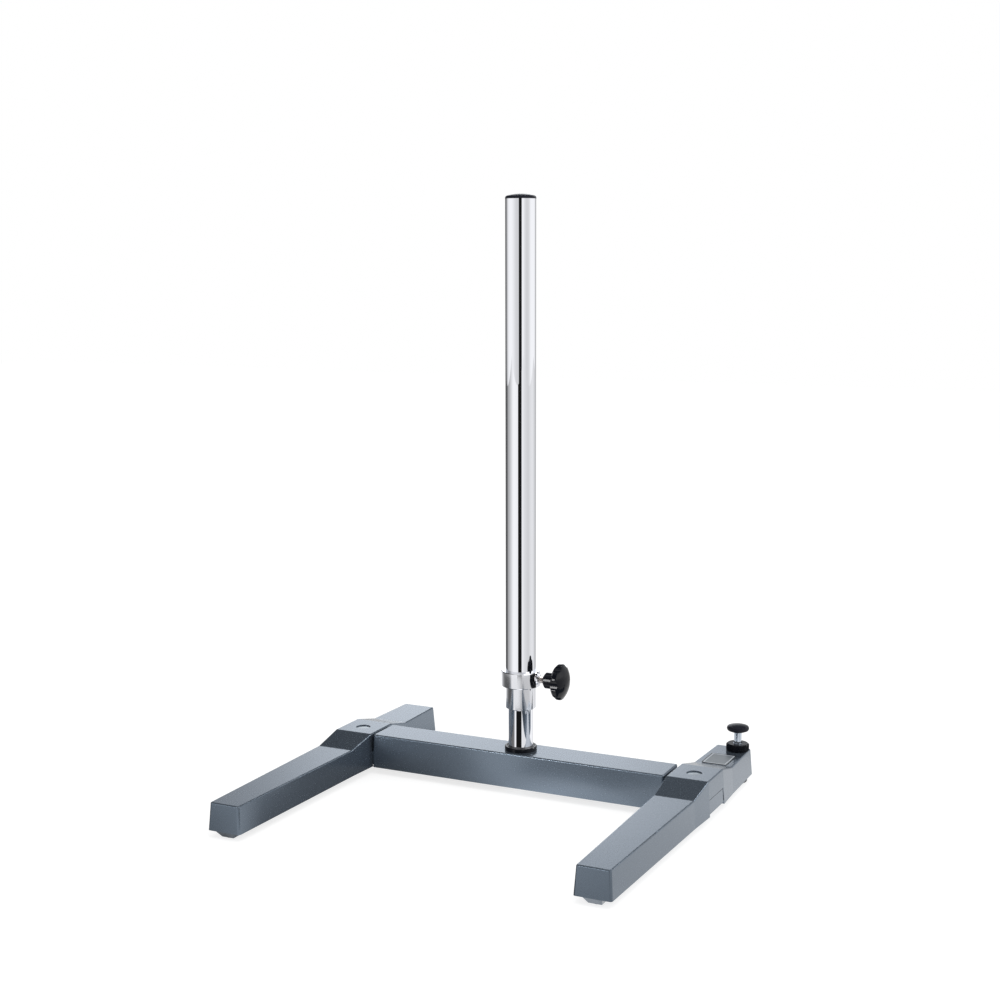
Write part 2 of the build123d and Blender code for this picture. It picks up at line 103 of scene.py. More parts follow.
class StandFinish(bpy.types.PropertyGroup):
    """Colours and gloss of the stand's finishes."""

    paint: colour_property("Paint", "Blue-grey paint of the castings", (0.150, 0.188, 0.236))
    paint_metal: share_property("Paint metal", "Share of metal flake in the paint", 0.75)
    paint_roughness: share_property("Paint roughness", "Spread of the paint's gloss", 0.26)
    cap: colour_property("Bolt covers", "Plastic covers over the leg bolts", (0.150, 0.185, 0.215))
    chrome: colour_property("Chrome", "Plating of the tubes and the collar", (0.89, 0.90, 0.94))
    chrome_roughness: share_property("Chrome roughness", "Spread of the chrome's gloss", 0.012)
    collar_roughness: share_property("Collar roughness", "Spread of the collar's gloss", 0.07)
    spindle: colour_property("Spindle", "Bright neck of the levelling screw", (0.60, 0.66, 0.74))
    stud: colour_property("Stud", "Bright steel of the clamp screw", (0.93, 0.88, 0.86))
    steel: colour_property("Steel", "Bright steel of the screws", (0.72, 0.72, 0.73))
    black: colour_property("Black plastic", "Grip, base ring and lock nut", (0.004, 0.005, 0.008))
    satin: colour_property("Satin black", "End cap and levelling head", (0.013, 0.014, 0.021))
    plate: colour_property("Arm plate", "Field of the bare plate on the arm", (0.15, 0.17, 0.19))
    plate_rim: colour_property("Arm plate rim", "Light band round the plate", (0.46, 0.50, 0.54))
    plate_edge: colour_property("Arm plate edge", "Dark outline of the plate", (0.012, 0.015, 0.02))
    seam_shade: colour_property("Seam", "Shade in the seams over the tongues", (0.02, 0.024, 0.03))
    nylon: colour_property("Nylon", "Glide bushes inside the column", (0.78, 0.76, 0.70))
    brass: colour_property("Brass", "Pressure shoe of the clamp", (0.60, 0.42, 0.16))
    rubber: colour_property("Rubber", "Pads under the feet", (0.022, 0.022, 0.022))


class StandSizes(bpy.types.PropertyGroup):
    """Sizes of the details that the castings and tubes carry."""

    clamp_pitch: length_property("Clamp pitch", "Thread pitch of the clamp screw", 1.25 * MM)
    level_pitch: length_property("Levelling pitch", "Thread pitch of the levelling screw", 1.5 * MM)
    thread_depth: length_property("Thread depth", "Depth of both threads", 0.65 * MM)
    thread_sides: IntProperty(
        name="Thread sides", description="Points round a thread", default=32, min=8
    )
    knurl_count: IntProperty(
        name="Knurl ridges", description="Ridges round the lock nut", default=72, min=6
    )
    knurl_height: length_property("Knurl height", "How far a ridge stands out", 0.35 * MM)
    cover_sink: length_property("Cover sink", "Rim of a bolt cover below its hole", 0.6 * MM)
    cover_dome: length_property("Cover dome", "Height of a bolt cover's dome", 0.18 * MM)
    foot_contact: length_property("Foot contact", "Radius on which the foot stands", 7.5 * MM)
    foot_radius: length_property("Foot radius", "Widest radius of the levelling foot", 11.6 * MM)
    foot_rim: length_property("Foot rim", "Height of the foot's widest radius", 3.0 * MM)
    foot_neck: length_property("Foot neck", "Radius on top of the levelling foot", 8.0 * MM)
    # The dark seam is a bead of painted shade, laid in the slit over each tongue.
    seam: length_property("Seam", "Width of the dark seam over each crossbar tongue", 0.8 * MM)
    nut_chamfer: length_property("Nut chamfer", "Chamfer on the lock nut's upper rim", 1.2 * MM)
    plate_length: length_property("Plate length", "Arm plate along the arm", 38.0 * MM)
    plate_width: length_property("Plate width", "Arm plate across the arm", 29.6 * MM)
    plate_corner: length_property("Plate corner", "Corner radius of the arm plate", 2.5 * MM)
    plate_height: length_property("Plate height", "Thickness of the arm plate", 0.4 * MM)
    plate_border: length_property("Plate border", "Width of each band round the plate", 1.5 * MM)
    plate_place: FloatVectorProperty(
        name="Plate place", description="Centre of the arm plate on the right rear arm",
        default=(0.207, 0.1573, NUT_LOW.z), subtype="TRANSLATION", size=3, unit="LENGTH",
    )


class StandStudio(bpy.types.PropertyGroup):
    """Floor, light and camera."""

    floor_size: length_property("Floor size", "Side of the square floor", 12.0)
    sky: share_property("Sky", "Even light from all round", 0.9)
    back_wall: FloatProperty(
        name="Back wall", description="Brightness of the wall behind, in gloss", default=1.8, min=0
    )
    key_power: power_property("Key", "Power of the overhead softbox", 14.0)
    fill_power: power_property("Fill", "Power of the softbox at the right", 8.0)
    strip_power: power_property("Strip", "Softbox at the front left, for the grip", 22.0)
    front_power: power_property("Front", "Softbox at the front left, for the castings", 9.0)
    rim_power: power_property("Rim", "Power of the softbox behind at the right", 6.0)
    lamp_distance: length_property("Lamp distance", "From the stand to the strips", 2.6)
    camera_place: FloatVectorProperty(
        name="Camera", description="Place of the camera", default=(0.7659, -1.5640, 0.5976),
        subtype="TRANSLATION", size=3, unit="LENGTH",
    )
    camera_turn: angle_property("Camera turn", "Turn to the left of straight to the rear", 25.82)
    camera_tilt: angle_property("Camera tilt", "Tilt below the horizon", 8.36)
    camera_roll: angle_property("Camera roll", "Roll of the camera about its own axis", -0.12)
    camera_lens: FloatProperty(
        name="Lens", description="Focal length in millimetres on a 36 mm frame", default=59.18,
        subtype="DISTANCE_CAMERA", min=1,
    )


def add(tree, kind, inputs=None, **settings):
    """A new node with its settings; an input takes a value or another node's socket."""
    node = tree.nodes.new(kind)
    for name, value in settings.items():
        setattr(node, name, value)
    for key, value in (inputs or {}).items():
        if isinstance(value, bpy.types.NodeSocket):
            tree.links.new(value, node.inputs[key])
        else:
            node.inputs[key].default_value = value
    return node


def calc(tree, operation, *values):
    """The result of a Math node."""
    return add(
        tree, "ShaderNodeMath", dict(enumerate(values)), operation=operation
    ).outputs[0]


def blend(tree, factor, first, second, kind="MIX"):
    """The colour result of a Mix node."""
    return add(
        tree, "ShaderNodeMix", {"Factor": factor, MIX_A: first, MIX_B: second},
        data_type="RGBA", blend_type=kind,
    ).outputs[2]


def remap(tree, value, start, end, low=0.0, high=1.0):
    """A value between start and end, brought to between low and high."""
    return add(
        tree, "ShaderNodeMapRange", {0: value, 1: start, 2: end, 3: low, 4: high}
    ).outputs[0]


def along(tree, vector, axis):
    """How far a vector reaches along an axis."""
    return add(
        tree, "ShaderNodeVectorMath", {0: vector, 1: axis}, operation="DOT_PRODUCT"
    ).outputs["Value"]


def opaque(colour, shade=1.0):
    """A colour with its alpha, made lighter or darker."""
    return (*(c * shade for c in colour), 1.0)


def grey(value):
    """A grey with its alpha."""
    return opaque((value, value, value))


def ramp(tree, factor, stops):
    """A colour ramp through (place, grey) stops."""
    node = add(tree, "ShaderNodeValToRGB", {0: factor})
    band = node.color_ramp
    while len(band.elements) < len(stops):
        band.elements.new(1.0)
    for element, (place, value) in zip(band.elements, stops):
        element.position = place
        element.color = grey(value)
    return node.outputs["Color"]


def surface_material(
    name, colour, roughness, metallic=0.0, mottle=0.05, spread=0.15, grain=900.0,
    relief=0.15, stretch=(1, 1, 1), pattern="noise", coat=0.0, gloss=0.5,
):
    """A finish with uneven colour and roughness and a fine surface, on Object coordinates."""
    material = bpy.data.materials.new(name)
    material.use_nodes = True
    tree = material.node_tree
    shader = tree.nodes["Principled BSDF"]
    place = add(tree, "ShaderNodeTexCoord").outputs["Object"]
    drawn = add(tree, "ShaderNodeMapping", {"Vector": place, "Scale": stretch}).outputs[0]
    cloud = add(
        tree, "ShaderNodeTexNoise", {"Vector": drawn, "Scale": grain / 18, "Detail": 3.0}
    ).outputs[0]
    if pattern == "cells":
        fine = add(
            tree, "ShaderNodeTexVoronoi", {"Vector": drawn, "Scale": grain}, feature="F1"
        ).outputs["Distance"]
    else:
        fine = add(
            tree, "ShaderNodeTexNoise", {"Vector": drawn, "Scale": grain, "Detail": 2.0}
        ).outputs[0]
    tone = blend(tree, cloud, opaque(colour, 1 - mottle), opaque(colour, 1 + mottle))
    rough = remap(
        tree, fine, start=0.3, end=0.7, low=roughness * (1 - spread),
        high=roughness * (1 + spread),
    )
    bump = add(
        tree, "ShaderNodeBump", {"Strength": relief, "Distance": 0.1 * MM, "Height": fine}
    ).outputs[0]
    tree.links.new(tone, shader.inputs["Base Color"])
    tree.links.new(rough, shader.inputs["Roughness"])
    tree.links.new(bump, shader.inputs["Normal"])
    shader.inputs["Metallic"].default_value = metallic
    shader.inputs["Specular IOR Level"].default_value = gloss
    shader.inputs["Coat Weight"].default_value = coat
    shader.inputs["Coat Roughness"].default_value = roughness / 3
    return material


def dress(material, *nodes):
    """Gives a material to whole CAD nodes."""
    for node in nodes:
        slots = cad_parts[node].data.materials
        slots.clear()
        slots.append(material)


def mesh_object(name, vertices, faces):
    """A new object at the origin with the given mesh."""
    mesh = bpy.data.meshes.new(name)
    mesh.from_pydata(vertices, [], faces)
    mesh.validate()
    thing = bpy.data.objects.new(name, mesh)
    bpy.context.scene.collection.objects.link(thing)
    return thing


def lathe(profile, sides):
    """Vertices and faces of a closed profile, drawn as (radius, height), turned about Z."""
    vertices = []
    for step in range(sides):
        turn = 2 * math.pi * step / sides
        vertices += [(r * math.cos(turn), r * math.sin(turn), z) for r, z in profile]
    count = len(profile)
    faces = []
    for step in range(sides):
        here, there = step * count, (step + 1) % sides * count
        for k in range(count):
            after = (k + 1) % count
            faces.append((here + k, there + k, there + after, here + after))
    return vertices, faces


def geometry_tree(name, inputs):
    """A Geometry Nodes tree with a geometry socket, named inputs and a geometry result."""
    tree = bpy.data.node_groups.new(name, "GeometryNodeTree")
    tree.interface.new_socket("Geometry", in_out="INPUT", socket_type="NodeSocketGeometry")
    for label, kind in inputs:
        tree.interface.new_socket(label, in_out="INPUT", socket_type="NodeSocket" + kind)
    tree.interface.new_socket("Geometry", in_out="OUTPUT", socket_type="NodeSocketGeometry")
    given = add(tree, "NodeGroupInput").outputs
    result = add(tree, "NodeGroupOutput").inputs[0]
    return tree, given, result


def close_tree(tree, geometry, material, result):
    """Ends a tree: real geometry with the piece's material."""
    real = add(tree, "GeometryNodeRealizeInstances", {0: geometry}).outputs[0]
    painted = add(tree, "GeometryNodeSetMaterial", {"Geometry": real, "Material": material})
    tree.links.new(painted.outputs[0], result)


def grown(seed, tree, values):
    """The seed object with the tree's result as its own mesh."""
    modifier = seed.modifiers.new(tree.name, "NODES")
    modifier.node_group = tree
    for item in tree.interface.items_tree:
        if item.item_type == "SOCKET" and item.in_out == "INPUT" and item.name in values:
            modifier[item.identifier] = values[item.name]
    graph = bpy.context.evaluated_depsgraph_get()
    mesh = bpy.data.meshes.new_from_object(seed.evaluated_get(graph))
    seed.modifiers.clear()
    seed.data = mesh
    mesh.materials.clear()
    mesh.materials.append(values["Material"])
    mesh.polygons.foreach_set("material_index", [0] * len(mesh.polygons))
    return seed


def thread_tree():
    """A threaded rod: a cylinder on Z whose wall follows a helix."""
    tree, given, result = geometry_tree("Thread", (
        ("Radius", "Float"), ("Depth", "Float"), ("Pitch", "Float"), ("Length", "Float"),
        ("Sides", "Int"), ("Material", "Material"),
    ))
    turns = calc(tree, "DIVIDE", given["Length"], given["Pitch"])
    rings = calc(tree, "MULTIPLY", turns, RINGS_PER_TURN)
    rod = add(tree, "GeometryNodeMeshCylinder", {
        "Vertices": given["Sides"], "Side Segments": rings,
        "Radius": given["Radius"], "Depth": given["Length"],
    })
    place = add(tree, "GeometryNodeInputPosition").outputs[0]
    x, y, z = add(tree, "ShaderNodeSeparateXYZ", {0: place}).outputs
    turn = calc(tree, "DIVIDE", calc(tree, "ARCTAN2", y, x), 2 * math.pi)
    phase = calc(tree, "SUBTRACT", calc(tree, "DIVIDE", z, given["Pitch"]), turn)
    slope = calc(tree, "ABSOLUTE", calc(tree, "SUBTRACT", calc(tree, "FRACT", phase), 0.5))
    cut = calc(tree, "MULTIPLY", calc(tree, "MULTIPLY", slope, -2.0), given["Depth"])
    flat = add(tree, "ShaderNodeCombineXYZ", {0: x, 1: y}).outputs[0]
    outwards = add(tree, "ShaderNodeVectorMath", {0: flat}, operation="NORMALIZE").outputs[0]
    shift = add(
        tree, "ShaderNodeVectorMath", {0: outwards, "Scale": cut}, operation="SCALE"
    ).outputs[0]
    moved = add(
        tree, "GeometryNodeSetPosition", {"Geometry": rod.outputs["Mesh"], "Offset": shift}
    ).outputs[0]
    close_tree(tree, moved, given["Material"], result)
    return tree


def knurl_tree():
    """Ridges side by side round a turned body, which is the tree's own geometry."""
    tree, given, result = geometry_tree("Knurl", (
        ("Radius", "Float"), ("Ridge", "Float"), ("Low", "Float"), ("High", "Float"),
        ("Count", "Int"), ("Material", "Material"),
    ))
    ring = add(
        tree, "GeometryNodeMeshCircle", {"Vertices": given["Count"], "Radius": given["Radius"]}
    ).outputs[0]
    height = calc(tree, "SUBTRACT", given["High"], given["Low"])
    centre = calc(tree, "DIVIDE", calc(tree, "ADD", given["High"], given["Low"]), 2.0)
    ridge = add(tree, "GeometryNodeMeshCylinder", {
        "Vertices": 4, "Side Segments": 1, "Radius": given["Ridge"], "Depth": height,
    }).outputs["Mesh"]
    lift = add(tree, "ShaderNodeCombineXYZ", {2: centre}).outputs[0]
    raised = add(
        tree, "GeometryNodeTransform", {"Geometry": ridge, "Translation": lift}
    ).outputs[0]
    place = add(tree, "GeometryNodeInputPosition").outputs[0]
    facing = add(
        tree, "FunctionNodeAlignRotationToVector", {"Vector": place}, axis="X", pivot_axis="Z"
    ).outputs[0]
    ridges = add(tree, "GeometryNodeInstanceOnPoints", {
        "Points": ring, "Instance": raised, "Rotation": facing,
    }).outputs[0]
    joined = add(tree, "GeometryNodeJoinGeometry")
    tree.links.new(ridges, joined.inputs[0])
    tree.links.new(given["Geometry"], joined.inputs[0])
    close_tree(tree, joined.outputs[0], given["Material"], result)
    return tree


def pair_tree():
    """The tree's own geometry at two places."""
    tree, given, result = geometry_tree("Pair", (
        ("First", "Vector"), ("Second", "Vector"), ("Material", "Material"),
    ))
    line = add(tree, "GeometryNodeMeshLine", {
        "Count": 2, "Start Location": given["First"], "Offset": given["Second"],
    }, mode="END_POINTS").outputs[0]
    copies = add(
        tree, "GeometryNodeInstanceOnPoints", {"Points": line, "Instance": given["Geometry"]}
    ).outputs[0]
    close_tree(tree, copies, given["Material"], result)
    return tree


def threaded(name, radius, depth, pitch, low, high, sides, material):
    """A threaded rod between two heights on Z."""
    seed = mesh_object(name, [], [])
    rod = grown(seed, thread_tree(), {
        "Radius": radius, "Depth": depth, "Pitch": pitch, "Length": high - low,
        "Sides": sides, "Material": material,
    })
    rod.data.transform(Matrix.Translation((0, 0, (low + high) / 2)))
    return rod


def join_turned(thing, profile, sides):
    """Adds a turned solid to an object's mesh, in its first material."""
    extra = mesh_object(thing.name + "_turned", *lathe(profile, sides))
    extra.data.materials.append(thing.data.materials[0])
    with bpy.context.temp_override(
        active_object=thing, object=thing, selected_editable_objects=[thing, extra],
        selected_objects=[thing, extra],
    ):
        bpy.ops.object.join()


class STAND_OT_castings(bpy.types.Operator):
    """Paints the crossbar and the legs"""

    bl_idname = "stand.castings"
    bl_label = "Painted castings"

    def execute(self, context):
        finish = context.scene.stand_finish
        paint = surface_material(
            "casting_paint", finish.paint, finish.paint_roughness, metallic=finish.paint_metal,
            mottle=0.015, spread=0.06, grain=700.0, relief=0.004, coat=0.3,
        )
        dress(paint, "crossbar", "left_leg", "right_leg")
        return {"FINISHED"}


class STAND_OT_bolt_covers(bpy.types.Operator):
    """Makes the domed plastic covers, sunk in the humps over the leg bolts"""

    bl_idname = "stand.bolt_covers"
    bl_label = "Bolt covers"

    def execute(self, context):
        finish, sizes = context.scene.stand_finish, context.scene.stand_sizes
        plastic = surface_material(
            "bolt_cover", finish.cap, 0.16, metallic=0.6, mottle=0.03, grain=900.0, relief=0.004,
            coat=0.3,
        )
        low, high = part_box("left_bolt_cap")
        radius = (high.x - low.x) / 2
        edge, lip, steps = high.z - sizes.cover_sink, 0.2 * MM, 8
        dome = [(radius - lip, edge)]
        for step in range(1, steps + 1):
            reach = 1 - step / steps
            dome.append((max(radius * reach, ON_AXIS), edge + sizes.cover_dome * (1 - reach ** 2)))
        cover = mesh_object("domed_bolt_covers", *lathe(
            [(ON_AXIS, low.z), (radius, low.z), (radius, edge - lip)] + dome, sides=64
        ))
        cover = grown(cover, pair_tree(), {
            "First": middle("left_bolt_cap") * Vector((1, 1, 0)),
            "Second": middle("right_bolt_cap") * Vector((1, 1, 0)),
            "Material": plastic,
        })
        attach(cover, "base")
        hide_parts("left_bolt_cap", "right_bolt_cap")
        return {"FINISHED"}


class STAND_OT_tongue_seams(bpy.types.Operator):
    """Draws a dark bead of painted shade in the slit where each leg sits over a tongue of the
    crossbar
    """

    bl_idname = "stand.tongue_seams"
    bl_label = "Tongue seam shade"

    def execute(self, context):
        finish, sizes = context.scene.stand_finish, context.scene.stand_sizes
        past_bolt, level = 10 * MM, 0.01 * MM
        cover = middle("right_bolt_cap").x
        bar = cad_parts["crossbar"].data.vertices
        outer = [v.co for v in bar if v.co.x > cover + past_bolt]
        top = max(co.z for co in outer)
        end = max(co.x for co in outer if co.z > top - level)
        width = max(co.y for co in outer) - min(co.y for co in outer)
        radius, half = sizes.seam / 2, width / 2 - sizes.seam
        blunt = radius * 0.7
        seam = mesh_object("tongue_shade_beads", *lathe([
            (ON_AXIS, -half), (blunt, -half), (radius, radius - half),
            (radius, half - radius), (blunt, half), (ON_AXIS, half),
        ], sides=12))
        seam.data.transform(Matrix.Rotation(math.radians(90), 4, "X"))
        place = Vector((end, COLUMN_AXIS.y, top + radius))
        # Painted shade: the bead stands for the shadow in the slit, not for a dark joint.
        dark = surface_material(
            "seam_painted_shade", finish.seam_shade, 0.5, mottle=0.1, grain=2000.0, relief=0.02, gloss=0.2
        )
        seam = grown(seam, pair_tree(), {
            "First": place, "Second": place * Vector((-1, 1, 1)), "Material": dark,
        })
        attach(seam, "base")
        return {"FINISHED"}


class STAND_OT_column(bpy.types.Operator):
    """Plates the tubes and the clamp collar, and finishes what is inside them"""

    bl_idname = "stand.column"
    bl_label = "Chromed column"

    def execute(self, context):
        finish = context.scene.stand_finish
        tube = surface_material(
            "tube_chrome", finish.chrome, finish.chrome_roughness, metallic=1.0, mottle=0.01,
            spread=0.3, grain=260.0, relief=0.003, stretch=(1, 1, 0.04),
        )
        dress(tube, "outer_tube", "inner_tube")
        turned = surface_material(
            "collar_chrome", finish.chrome, finish.collar_roughness, metallic=1.0,
            mottle=0.04, spread=0.3, grain=420.0, relief=0.05, stretch=(1, 1, 0.08),
        )
        dress(turned, "clamp_collar", "clamp_insert")
        bright = surface_material(
            "turned_steel", finish.steel, 0.22, metallic=1.0, grain=1500.0, relief=0.05,
            stretch=(0.1, 0.1, 1),
        )
        dress(bright, "stop_sleeve", "bush_snap_ring")
        nylon = surface_material(
            "bush_nylon", finish.nylon, 0.5, mottle=0.03, grain=1800.0, relief=0.08
        )
        dress(nylon, "upper_glide_bush", "inner_tube_plug", "lower_glide_bush")
        brass = surface_material(
            "shoe_brass", finish.brass, 0.3, metallic=1.0, grain=1500.0, relief=0.05,
            stretch=(1, 0.1, 0.1),
        )
        dress(brass, "clamp_shoe")
        return {"FINISHED"}


class STAND_OT_black_parts(bpy.types.Operator):
    """Moulds the grip, the end cap, the ring at the column's foot and the levelling head"""

    bl_idname = "stand.black_parts"
    bl_label = "Black parts"

    def execute(self, context):
        finish = context.scene.stand_finish
        gloss = surface_material(
            "grip_black", finish.black, 0.09, mottle=0.2, spread=0.2, grain=900.0, relief=0.004,
            gloss=0.2,
        )
        dress(gloss, "star_grip")
        satin = surface_material(
            "satin_black", finish.satin, 0.3, mottle=0.2, spread=0.15,
            grain=2600.0, relief=0.03, gloss=0.13,
        )
        dress(satin, "end_cap", "level_head")
        ring = surface_material(
            "ring_black", finish.black, 0.16, mottle=0.2, spread=0.2, grain=1600.0, relief=0.01,
            gloss=0.24,
        )
        dress(ring, "base_ring")
        rubber = surface_material(
            "pad_rubber", finish.rubber, 0.75, mottle=0.25, grain=2200.0, relief=0.3,
            pattern="cells", gloss=0.3,
        )
        dress(rubber, "front_left_foot_pad", "front_right_foot_pad", "rear_left_foot_pad")
        return {"FINISHED"}


class STAND_OT_fasteners(bpy.types.Operator):
    """Zinc-plates the bolts, washers and anchor of the base"""

    bl_idname = "stand.fasteners"
    bl_label = "Fasteners"

    def execute(self, context):
        zinc = surface_material(
            "zinc_plate", context.scene.stand_finish.steel, 0.34, metallic=1.0, mottle=0.12,
            grain=700.0, relief=0.06, pattern="cells",
        )
        dress(
            zinc, "leg_bolts", "leg_bolt_washers", "column_anchor", "column_screw",
            "column_washer",
        )
        return {"FINISHED"}


class STAND_OT_clamp_thread(bpy.types.Operator):
    """Makes the threaded stud of the star grip"""

    bl_idname = "stand.clamp_thread"
    bl_label = "Clamp stud"

    def execute(self, context):
        finish, sizes = context.scene.stand_finish, context.scene.stand_sizes
        steel = surface_material(
            "stud_steel", finish.stud, 0.12, metallic=1.0, mottle=0.03, grain=1800.0,
            relief=0.03,
        )
        radius = (STUD_HIGH.z - STUD_LOW.z) / 2
        stud = threaded(
            "threaded_stud", radius, sizes.thread_depth, sizes.clamp_pitch, STUD_LOW.x,
            STUD_HIGH.x, sizes.thread_sides, steel,
        )
        along_x = Matrix.Rotation(math.radians(90), 4, "Y")
        place = Matrix.Translation((0, CLAMP_AXIS.y, CLAMP_AXIS.z))
        stud.data.transform(place @ along_x)
        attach(stud, "clamp_screw")
        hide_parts("clamp_stud")
        return {"FINISHED"}


class STAND_OT_level_thread(bpy.types.Operator):
    """Makes the threaded spindle of the levelling screw"""

    bl_idname = "stand.level_thread"
    bl_label = "Levelling spindle"

    def execute(self, context):
        finish, sizes = context.scene.stand_finish, context.scene.stand_sizes
        steel = surface_material(
            "spindle_steel", finish.spindle, 0.08, metallic=1.0, mottle=0.5, grain=9000.0,
            relief=0.004, stretch=(1, 1, 0.02),
        )
        radius = (SPINDLE_HIGH.x - SPINDLE_LOW.x) / 2
        journal_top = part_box("level_foot")[1].z
        spindle = threaded(
            "threaded_spindle", radius, sizes.thread_depth, sizes.level_pitch,
            journal_top + 0.1 * MM, NUT_HIGH.z, sizes.thread_sides, steel,
        )
        neck = radius - sizes.thread_depth
        root = NUT_HIGH.z - 1 * MM  # where the plain neck starts, inside the thread
        join_turned(spindle, [
            (ON_AXIS, root), (neck, root), (neck, SPINDLE_HIGH.z), (ON_AXIS, SPINDLE_HIGH.z),
        ], sides=48)
        low, high = SPINDLE_LOW.z, journal_top + 0.3 * MM
        join_turned(spindle, [
            (ON_AXIS, low), (JOURNAL_RADIUS, low), (JOURNAL_RADIUS, high), (ON_AXIS, high),
        ], sides=32)
        spindle.data.transform(Matrix.Translation((LEVEL_AXIS.x, LEVEL_AXIS.y, 0)))
        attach(spindle, "level_screw")
        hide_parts("level_spindle")
        return {"FINISHED"}


class STAND_OT_level_foot(bpy.types.Operator):
    """Turns the foot of the levelling screw, rounded below and bored for the spindle"""

    bl_idname = "stand.level_foot"
    bl_label = "Levelling foot"

    def execute(self, context):
        finish, sizes = context.scene.stand_finish, context.scene.stand_sizes
        black = surface_material(
            "foot_black", finish.satin, 0.4, mottle=0.2, grain=2600.0, relief=0.05, gloss=0.2
        )
        low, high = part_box("level_foot")
        bore = JOURNAL_RADIUS + 0.1 * MM
        floor_of_bore = SPINDLE_LOW.z - 0.05 * MM
        underside, steps = [], 6
        for step in range(steps + 1):
            turn = math.radians(90 * step / steps)
            spread = (sizes.foot_radius - sizes.foot_contact) * math.sin(turn)
            underside.append(
                (sizes.foot_contact + spread, low.z + sizes.foot_rim * (1 - math.cos(turn)))
            )
        inside = [
            (sizes.foot_neck, high.z), (bore, high.z), (bore, floor_of_bore),
            (ON_AXIS, floor_of_bore),
        ]
        foot = mesh_object(
            "levelling_foot", *lathe([(ON_AXIS, low.z)] + underside + inside, sides=64)
        )
        foot.data.transform(Matrix.Translation((LEVEL_AXIS.x, LEVEL_AXIS.y, 0)))
        foot.data.materials.append(black)
        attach(foot, "level_foot")
        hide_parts("level_foot")
        return {"FINISHED"}


class STAND_OT_lock_nut(bpy.types.Operator):
    """Makes the knurled lock nut of the levelling screw"""

    bl_idname = "stand.lock_nut"
    bl_label = "Lock nut"

    def execute(self, context):
        finish, sizes = context.scene.stand_finish, context.scene.stand_sizes
        black = surface_material(
            "nut_black", finish.black, 0.25, mottle=0.2, spread=0.2, grain=1500.0, relief=0.03,
            gloss=0.12,
        )
        outer = (NUT_HIGH.x - NUT_LOW.x) / 2
        body = outer - sizes.knurl_height
        bore = (SPINDLE_HIGH.x - SPINDLE_LOW.x) / 2 + 0.05 * MM
        low, high = NUT_LOW.z, NUT_HIGH.z
        edge = sizes.nut_chamfer
        seed = mesh_object("knurled_lock_nut", *lathe([
            (bore, low), (body - edge / 2, low), (body, low + edge / 2), (body, high - edge),
            (body - edge, high), (bore, high),
        ], sides=96))
        nut = grown(seed, knurl_tree(), {
            "Radius": body, "Ridge": sizes.knurl_height, "Low": low + edge / 2,
            "High": high - edge, "Count": sizes.knurl_count, "Material": black,
        })
        nut.data.transform(Matrix.Translation((LEVEL_AXIS.x, LEVEL_AXIS.y, 0)))
        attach(nut, "lock_nut")
        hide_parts("lock_nut")
        return {"FINISHED"}


def rounded_outline(length, width, corner, steps=6):
    """Points of a rectangle with rounded corners, counter-clockwise about the origin."""
    points = []
    for quarter, (sx, sy) in enumerate(((1, 1), (-1, 1), (-1, -1), (1, -1))):
        cx, cy = sx * (width / 2 - corner), sy * (length / 2 - corner)
        for step in range(steps + 1):
            turn = math.radians(90 * (quarter + step / steps))
            points.append((cx + corner * math.cos(turn), cy + corner * math.sin(turn)))
    return points


class STAND_OT_arm_plate(bpy.types.Operator):
    """Lays a bare plate with a raised border on the right rear arm"""

    bl_idname = "stand.arm_plate"
    bl_label = "Arm plate"

    def execute(self, context):
        finish, sizes = context.scene.stand_finish, context.scene.stand_sizes
        rim, top = sizes.plate_border, sizes.plate_height
        field = top * 0.6
        levels = ((0.0, 0.0), (0.0, top), (rim, top), (2 * rim, top), (2 * rim, field))
        vertices, faces = [], []
        for inset, height in levels:
            outline = rounded_outline(
                sizes.plate_length - 2 * inset, sizes.plate_width - 2 * inset,
                max(sizes.plate_corner - inset, rim / 2),
            )
            vertices += [(x, y, height) for x, y in outline]
        count = len(outline)
        for level in range(len(levels) - 1):
            for k in range(count):
                after = (k + 1) % count
                low, high = level * count, (level + 1) * count
                faces.append((low + k, low + after, high + after, high + k))
        faces.append(tuple(reversed(range(count))))
        faces.append(tuple(range((len(levels) - 1) * count, len(levels) * count)))
        plate = mesh_object("bare_arm_plate", vertices, faces)
        plate.data.transform(Matrix.Translation(sizes.plate_place))
        for name, colour in (
            ("plate_edge", finish.plate_edge), ("plate_rim", finish.plate_rim),
            ("plate_field", finish.plate),
        ):
            plate.data.materials.append(
                surface_material(name, colour, 0.34, grain=2400.0, relief=0.03)
            )
        for face in plate.data.polygons[2 * count:4 * count]:
            face.material_index = 1
        plate.data.polygons[len(faces) - 1].material_index = 2
        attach(plate, "base")
        return {"FINISHED"}


def softbox(name, power, size, place, target, mirrored=False, only=()):
    """An area light that faces a point, for all or only some nodes; size is width and height."""
    lamp = bpy.data.lights.new(name, "AREA")
    lamp.energy = power
    lamp.shape = "RECTANGLE"
    lamp.size, lamp.size_y = size
    thing = bpy.data.objects.new(name, lamp)
    thing.location = place
    thing.rotation_euler = (Vector(target) - Vector(place)).to_track_quat("-Z", "Y").to_euler()
    thing.visible_glossy = mirrored
    thing.visible_camera = False
    bpy.context.scene.collection.objects.link(thing)
    if only:
        receivers = bpy.data.collections.new(name + "_receivers")
        for node in only:
            receivers.objects.link(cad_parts[node])
        thing.light_linking.receiver_collection = receivers


def azimuth_ramp(tree, x, y, stops):
    """A ramp by direction round the column, from 0 over the camera's side at 0.5 to 1."""
    vector = add(tree, "ShaderNodeCombineXYZ", {0: x, 1: y}).outputs[0]
    turn = add(
        tree, "ShaderNodeTexGradient", {"Vector": vector}, gradient_type="RADIAL"
    ).outputs[1]
    return ramp(tree, turn, stops)


def towards_camera(studio):
    """Unit vectors on the floor from the column to the camera, and to its right."""
    front = Vector(studio.camera_place) - COLUMN_AXIS
    front.z = 0
    front.normalize()
    return front, Vector((-front.y, front.x, 0))


